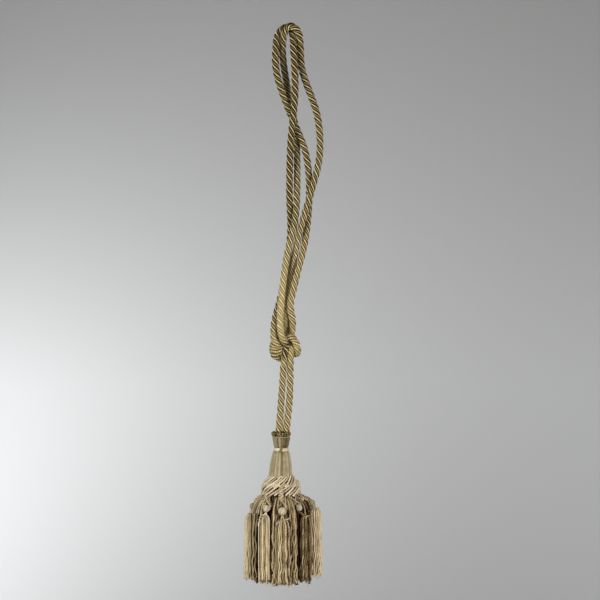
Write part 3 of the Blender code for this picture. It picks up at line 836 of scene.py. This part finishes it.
def yarn(strands, path, tone, radius=YARN, shade=0.0):
    """One yarn of the fringe. shade is how much darker it starts, where the ruff keeps light off it."""
    path = even(path, 1.3 * MM)
    run = lengths(path)
    if np.ndim(radius):
        radius = np.interp(np.linspace(0, 1, len(path)), np.linspace(0, 1, len(radius)), radius)
    own = tone + 0.07 * np.sin(TAU * run / 0.027 + RNG.uniform(0, TAU)) - shade * np.exp(-run / SHADE_REACH)
    strands.strand(path, radius, plied_section(7, 2, 0.1), own, 0, YARN_PITCH, RNG.uniform(0, TAU))


def make_small_tassel(number):
    """A doubled cord from the ball, and the fringe of yarns that hangs from its end."""
    node = f"small_tassel_{number}"
    levels = levels_of(node)
    foot = levels[0][0]
    stem = levels[-1][1]
    middle = levels[-2][1]
    look = FRINGES[number - 1]
    girth = max(radius for _, _, radius in levels) * look["slim"]
    dome = look["dome"]
    height = middle[2] - foot - look["short"] * MM
    strands = Strands()
    section = plied_section(9, 2, 0.3)
    for hand in (-1, 1):
        aside = np.array([0.95 * MM * hand, 0.0, 0.0])
        route = [stem, (stem + middle) / 2 + aside * 1.2, middle + aside, middle - [0, 0, 2 * MM]]
        strands.strand(smooth(route, 8), 0.9 * MM, section, look["tone"] + 0.25, pitch=0.005)
    layers = [  # yarns, share of the girth, how much lighter, share of YARN, yarns that move together
        (round(TAU * (girth - YARN) / (2.15 * YARN)), 1.0, 0.0, 1.0, 3),
        # The inner layer is darker: painted shade under the outer yarns.
        (10, 0.6, -0.15, 1.0, 3),
        (6, 1.07, 0.7 * (1 - look["tone"]) ** 2, 0.72, 1),
    ]
    for layer, (count, reach, lighter, thin, lock) in enumerate(layers):
        phases = lock_phases(count, lock)
        for k in range(count):
            turn = TAU * (k + RNG.uniform(-0.3, 0.3) + 0.5 * layer) / count
            out = np.array([math.cos(turn), math.sin(turn), 0.0])
            width = (girth * reach - YARN) * (1.04 - RNG.uniform(0.0, 1.3) * look["uneven"])
            drop = RNG.uniform(-1.4, 2.2) * MM - (RNG.random() < 0.15) * 2.4 * MM
            route = [
                middle + out * 0.7 * MM + [0, 0, 0.8 * MM],
                middle + out * width * (0.40 + 0.22 * dome) - [0, 0, 0.4 * MM],
                middle + out * width * (0.70 + 0.20 * dome) - [0, 0, 2.8 * MM],
                middle + out * width * (0.86 + 0.10 * dome) - [0, 0, 7.5 * MM],
                middle + out * width * 0.92 - [0, 0, 0.30 * height],
                middle + out * width * 0.96 - [0, 0, 0.60 * height],
                middle + out * width * 1.02 - [0, 0, height - drop - 1.0 * MM],
            ]
            line = swayed(smooth(route, 8, 1.3 * MM), look["sway"] * MM, phases[k])
            own = look["tone"] + RNG.normal(0, look["spread"]) + lighter
            own += look["slope"] * out[0]
            yarn(strands, line, own, thin * YARN * YARN_TAPER)
    ring = TAU * np.arange(16) / 16
    circle = np.stack([np.cos(ring), np.sin(ring), 0 * ring], axis=1)
    wide = look["core"] * girth
    core = [(0.0015, 0.5 * MM), (0.8 * wide, 3.0 * MM), (0.97 * wide, 12 * MM), (wide, height - 5 * MM)]
    rings = np.array([middle - [0, 0, z] + circle * r for r, z in core])
    # Unless the inside is full enough to show, it is a near-black core of painted shade.
    pale = look["core"] > PALE_CORE
    strands.rings(rings, look["tone"] - 0.3, slot=0 if pale else 1)
    strands.build(f"fringe_{number}", [FRINGE, PAINTED_SHADE], [node])


def make_ball(number):
    """A bead wound with thread from pole to pole."""
    low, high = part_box(f"ball_{number}")
    centre = np.array((low + high) / 2)
    radius = (high.z - low.z) / 2
    ribs, per_rib = 13, 4
    section = fluted_section(ribs * per_rib, ribs, 0.15)
    turn = TAU * np.arange(ribs * per_rib) / (ribs * per_rib)
    rings = []
    steps = 18
    for k in range(steps + 1):
        down = math.pi * (0.97 - 0.94 * k / steps)
        wide = radius * math.sin(down) * section
        spin = turn + 0.7 * math.cos(down) + number
        level = np.full_like(spin, centre[2] + radius * math.cos(down))
        ring = [centre[0] + wide * np.cos(spin), centre[1] + wide * np.sin(spin), level]
        rings.append(np.stack(ring, axis=1))
    strands = Strands()
    threads = np.roll(np.repeat(RNG.uniform(-0.14, 0.14, ribs), per_rib), 2)
    strands.rings(np.array(rings), FRINGES[number - 1]["ball"] + threads[None, :])
    strands.build(f"wound_ball_{number}", [WOUND], [f"ball_{number}"])


RUFF_FRONT = 0.0236
TWIST_TOP = -0.5415  # of the short thick cord that hangs from the ruff's front
TWIST_DROP = 0.0150
TWIST_TURNS = 1.9


def make_hangers():
    """Two twisted loops over each ball, from under the ruff, and the short thick cord at the front."""
    strands = Strands()
    for number in NUMBERS:
        points = np.array([vertex.co for vertex in NODES[f"hanger_{number}"].data.vertices])
        low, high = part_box(f"ball_{number}")
        ball = np.array((low + high) / 2)
        size = (high.z - low.z) / 2
        out, side = outward(ball)
        near = ((points - [*AXIS, 0.0]) @ out).min()
        top = np.array([AXIS[0], AXIS[1], points[:, 2].max() - 0.6 * MM]) + out * (near + 1.6 * MM)
        rise = ball - top
        look = FRINGES[number - 1]
        for apex, spread, lift in ((look["apex"], 1.0, 1.0), (look["apex_2"], 0.78, 0.2)):
            for hand in (-1, 1):
                wide = (size + 0.5 * MM) * spread
                belly = side * (0.55 * apex * MM + hand * wide * 0.55)
                route = [
                    top + side * apex * MM - out * 3.0 * MM + [0, 0, 1.0 * MM],
                    top + side * (apex + 0.5 * hand) * MM + out * 0.8 * MM + [0, 0, 0.3 * MM],
                    top + rise * 0.38 + belly + out * 1.6 * lift * MM,
                    top + rise * 0.74 + side * hand * wide * 0.92 + out * 1.0 * lift * MM,
                    ball + side * hand * wide * 0.84 - out * size * 0.35 + [0, 0, size * 0.3],
                    ball + side * hand * wide * 0.40 - out * size * 0.8 - [0, 0, size * 0.5],
                ]
                # The inner loop, nearer the skirt, is darker: painted shade.
                tone = 0.58 + RNG.uniform(-0.20, 0.20) - 0.14 * (lift < 1)
                twisted(strands, smooth(route, 10), 1.15 * MM, 0.38, tone)
    share = np.linspace(0, 1, 40)
    section = plied_section(9, 3, 0.3)
    for k in range(2):
        turn = TAU * (0.5 * k + TWIST_TURNS * share)
        reach = RUFF_FRONT + 1.4 * MM * np.sin(turn)
        middle = about_axis(math.radians(1.0), reach, TWIST_TOP - TWIST_DROP * share)
        path = middle + (1.9 * MM * np.cos(turn))[:, None] * np.array([1.0, 0.0, 0.0])
        strands.strand(even(path, 0.6 * MM), 1.75 * MM, section, 0.50 - 0.1 * k, slot=1, pitch=0.006)
    nodes = [f"hanger_{number}" for number in NUMBERS]
    strands.build("hanger_loops", [HANGER, RUFF], nodes)


# Over the head of small_tassel_9, front left: millimetres across, forward and down from its middle.
LOOSE_YARN = [
    (-7.0, 4.4, 74.6), (-7.2, 4.2, 43.4), (-7.1, 4.0, 20.3), (-6.9, 4.0, 8.6),
    (-5.6, 4.4, -0.4), (-2.7, 5.0, -2.8), (1.2, 5.0, -3.0), (4.0, 4.6, -0.7),
    (4.7, 4.6, 6.4), (5.0, 4.8, 19.2), (4.7, 5.0, 35.3),
]
LOOSE_CURL = [
    (-5.6, 4.2, 4.4),
    (-7.4, 4.0, 6.6),
    (-7.7, 4.0, 9.6),
    (-6.6, 4.0, 11.6),
]


def make_ties():
    """The knots and short ends that tie the small tassels' heads, and the loose yarn over one of them."""
    strands = Strands()
    section = plied_section(8, 2, 0.3)
    for number in NUMBERS:
        middle = levels_of(f"small_tassel_{number}")[-2][1]
        out, side = outward(middle)
        ring = TAU * np.arange(33) / 32
        for k in range(2):
            circle = np.stack([np.cos(ring), np.sin(ring), 0.12 * np.sin(ring + k)], axis=1)
            loop = middle + [0, 0, (0.2 - 1.3 * k) * MM] + circle * (2.1 + 0.5 * k) * MM
            strands.strand(loop, 0.75 * MM, section, 0.5, pitch=0.004)
        for hand, rise in ((-1, -1.0), (1, 0.45)):
            # The front tassel's ends are long.
            reach = (6.8 if number == 1 else RNG.uniform(2.0, 3.6)) * MM
            route = [
                middle + out * 2.2 * MM,
                middle + out * 3.4 * MM + side * hand * reach * 0.35 + [0, 0, 0.2 * rise * reach],
                middle + out * 4.2 * MM + side * hand * reach * 0.8 + [0, 0, 0.42 * rise * reach],
                middle + out * 3.8 * MM + side * hand * reach * 1.1 + [0, 0, 0.75 * rise * reach],
            ]
            twisted(strands, smooth(route, 8), 0.8 * MM, 0.36, 0.62, pitch=0.005)
    middle = levels_of("small_tassel_9")[-2][1]
    for route in (LOOSE_YARN, LOOSE_CURL):
        points = [middle + np.array([across, -forward, -drop]) * MM for across, forward, drop in route]
        strands.strand(smooth(points, 10, 0.8 * MM), 0.62 * MM, section, 0.68, slot=1, pitch=0.006)
    strands.build("head_ties", [HANGER, RUFF], [])


SKIRT = NODES["skirt"].data
SKIRT_TREE = BVHTree.FromPolygons(
    [vertex.co for vertex in SKIRT.vertices],
    [face.vertices for face in SKIRT.polygons],
)


def skirt_reach(turn, height):
    """How far the skirt's outside is from the axis."""
    out = Vector((math.sin(turn), -math.cos(turn), 0.0))
    hit = SKIRT_TREE.ray_cast(Vector((*AXIS, height)) + out * 0.08, -out)
    return (hit[0].xy - Vector(AXIS)).length


def make_shoulder_cords():
    """Short twisted cords that come from under the ruff and lie on the skirt's shoulder."""
    skirt_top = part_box("skirt")[1].z
    strands = Strands()
    count = 34
    for k in range(count):
        start = TAU * (k + RNG.uniform(-0.4, 0.4)) / count
        slant = RNG.uniform(-0.30, 0.34)
        length = RNG.uniform(8.0, 15.0) * MM
        lit_side = abs(math.sin(start))
        route = [about_axis(start - 0.3 * slant, 0.0190, skirt_top - 0.2 * MM)]
        for share in (0.1, 0.3, 0.55, 0.8, 1.0):
            height = skirt_top - 1.0 * MM - length * share
            turn = start + slant * share
            route.append(about_axis(turn, skirt_reach(turn, height) + (0.8 - 1.6 * share**3) * MM, height))
        # Lighter on the sides than at the front: painted light, and painted shade under the ruff.
        tone = 0.36 + 0.22 * lit_side + RNG.choice([-0.2, 0.0, 0.24])
        twisted(strands, smooth(route, 8), 1.15 * MM, 0.34, tone)
    # Four more over the head of each small tassel, but for the front one and the one to its right.
    shoulder = 0.0225
    top = skirt_top - 0.5 * MM
    for number in NUMBERS[2:]:
        head = levels_of(f"small_tassel_{number}")[-2][1] - [*AXIS, 0.0]
        turn = math.atan2(head[0], -head[1])
        reach = math.hypot(head[0], head[1])
        span = reach - shoulder
        if number == 9:
            turn -= 0.33  # beside this one's head, on its left
        for aside in (-0.22, -0.08, 0.06, 0.20):
            aside += RNG.uniform(-0.04, 0.04)
            foot = head[2] + RNG.uniform(-1.0, 2.0) * MM
            fall = foot - top
            route = [
                about_axis(turn - 0.4 * aside, UNDER_RUFF, top + 0.5 * MM),
                about_axis(turn + 0.2 * aside, shoulder, top - 0.5 * MM),
                about_axis(turn + 0.6 * aside, shoulder + 0.55 * span, top + 0.30 * fall),
                about_axis(turn + 0.9 * aside, shoulder + 0.92 * span, top + 0.75 * fall),
                about_axis(turn + aside, reach, foot),
            ]
            tone = 0.56 + RNG.choice([-0.24, 0.0, 0.2])
            twisted(strands, smooth(route, 8), 1.1 * MM, 0.38, tone)
    strands.build("shoulder_cords", [HANGER], [])


def make_skirt():
    """Two layers of yarns that follow the skirt's solid, a few that stand out in front, and a core of
    painted shade.
    """
    low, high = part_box("skirt")
    drops = (2.6, 5.5, 10.0, 17.0, 33.0, 64.0)  # millimetres below the skirt's top
    heights = [*(high.z - drop * MM for drop in drops), low.z + 1.2 * MM]
    # How far out the skirt is, by degree and height, and the distance round it at the fifth height.
    table = np.array([[skirt_reach(TAU * i / 360, z) for z in heights] for i in range(360)])
    degrees = np.radians(np.arange(360))
    edge = np.stack([table[:, 4] * np.cos(degrees), table[:, 4] * np.sin(degrees)], axis=1)
    run = lengths(np.vstack([edge, edge[:1]]))
    layers = (("skirt_yarns", 108, 0.5 * MM), ("skirt_inner_yarns", 64, 3.0 * MM))
    for layer, (name, count, inset) in enumerate(layers):
        strands = Strands()
        phases = lock_phases(count, 4)
        for k in range(count):
            at = (k + RNG.uniform(-0.4, 0.4) + 0.5 * layer) / count * run[-1]
            degree = np.interp(at % run[-1], run, np.arange(361))
            i = int(degree) % 360
            turn = math.radians(degree)
            facing = max(0.0, math.cos(turn))
            lift = RNG.uniform(-1.5, 0.5) * MM
            drop = (RNG.uniform(-1.6, 1.0) - 3.4 * facing**2) * MM
            route = [
                about_axis(turn, 0.0135, high.z - 0.3 * MM),
                about_axis(turn, UNDER_RUFF, high.z - 1.0 * MM),
            ]
            for j, z in enumerate([*heights[:-1], heights[-1] + drop]):
                route.append(about_axis(turn, table[i, j] - YARN - inset + lift, z))
            line = swayed(smooth(route, 8, 1.3 * MM), 0.8 * MM, phases[k])
            tone = np.interp((degree + 180.0) % 360.0 - 180.0, *np.transpose(SKIRT_TONES))
            tone = tone + RNG.choice([-0.14, -0.04, 0.30], p=[0.4, 0.32, 0.28])
            # The inner layer is darker: painted shade under the outer one.
            tone = tone + RNG.normal(0, 0.06) - 0.12 * layer
            yarn(strands, line, tone, shade=0.25 + 0.2 * facing)
        if layer == 0:
            for degree, tone, forward in FORWARD_YARNS:
                turn = math.radians(degree)
                route = [about_axis(turn, UNDER_RUFF, high.z - 1.0 * MM)]
                for z, reach in zip(heights, table[round(degree) % 360]):
                    route.append(about_axis(turn, reach - YARN + forward * MM, z))
                line = swayed(smooth(route, 8, 1.3 * MM), 0.9 * MM, RNG.uniform(0, TAU, (2, 3)))
                yarn(strands, line, tone, shade=0.3)
        else:
            # Inside the yarns, a near-black core of painted shade.
            ring = TAU * np.arange(120) / 120
            rows = 357 - 3 * np.arange(120)  # down the table, as the ring runs the other way round
            core = [about_axis(-ring, 0.0120, high.z - 0.5 * MM)]
            for j, z in enumerate([*heights[:-1], low.z + 7 * MM]):
                core.append(about_axis(-ring, table[rows, j] - 5.0 * MM, z))
            strands.rings(np.array(core), 0.2, slot=1)
        strands.build(name, [FRINGE, PAINTED_SHADE], ["skirt"])


def make_hem_fibres():
    """Fine loose fibres that fray from the fringe's lower edge."""
    strands = Strands()
    for number in NUMBERS:
        _, middle, girth = levels_of(f"small_tassel_{number}")[0]
        for _ in range(16):
            turn = RNG.uniform(0, TAU)
            out = np.array([math.cos(turn), math.sin(turn), 0.0])
            start = middle + out * girth * RNG.uniform(0.3, 1.05) + [0, 0, RNG.uniform(-1.0, 7.0) * MM]
            length = RNG.uniform(2.0, 5.0) * MM
            aside = np.array([-out[1], out[0], 0.0]) * RNG.normal(0, 0.35)
            path = [
                start,
                start + length * (0.35 * aside + [0, 0, -0.4]),
                start + length * (0.8 * aside + 0.15 * out + [0, 0, -0.7]),
                start + length * (1.3 * aside + 0.3 * out + [0, 0, -0.95]),
            ]
            tone = FRINGES[number - 1]["tone"] + RNG.uniform(0.0, 0.3)
            strands.strand(smooth(path, 5, 0.9 * MM), 0.2 * MM, round_section(4), tone)
    strands.build("hem_fibres", [FRINGE], [])


make_camera()
make_rope()
make_rim()
make_cap()
make_band()
make_neck()
make_ruff()
make_skirt()
make_shoulder_cords()
for number in NUMBERS:
    make_small_tassel(number)
    make_ball(number)
make_hangers()
make_ties()
make_hem_fibres()
make_lights()
make_floor()
